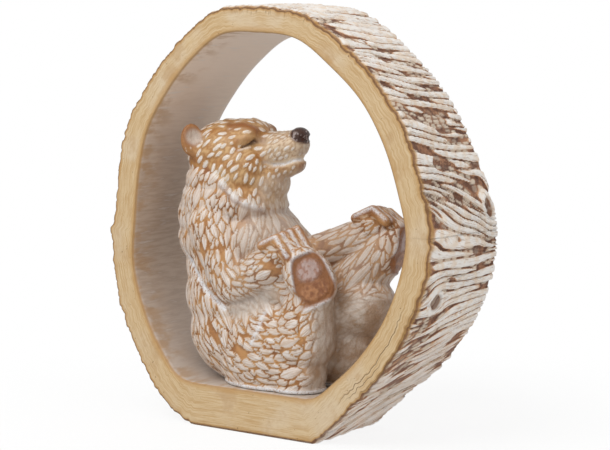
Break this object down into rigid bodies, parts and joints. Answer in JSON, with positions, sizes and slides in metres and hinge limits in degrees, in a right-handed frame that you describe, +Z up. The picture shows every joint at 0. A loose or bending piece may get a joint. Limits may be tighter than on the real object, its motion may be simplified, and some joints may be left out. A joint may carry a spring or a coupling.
{
  "type": "resin bear figurine",
  "caption": "Resin ornament of a seated bear cub holding its hind feet inside a hollow slice of log, which is its frame and stands on a flat underside.",
  "frame": {"origin": "on the flat underside, below the middle of the whole ornament", "axes": "+X the way the bear faces, +Y from the front face of the log slice to its back face, +Z up"},
  "size_m": [0.173, 0.051, 0.1835],
  "materials": {
    "log_resin": "cast resin, painted as pale wood and brushed bark",
    "bear_resin": "cast resin, painted as brown fur with white dry-brushed locks"
  },
  "bodies": {
    "root": {"log_ring": "log_resin", "bear": "bear_resin"}
  },
  "joints": []
}
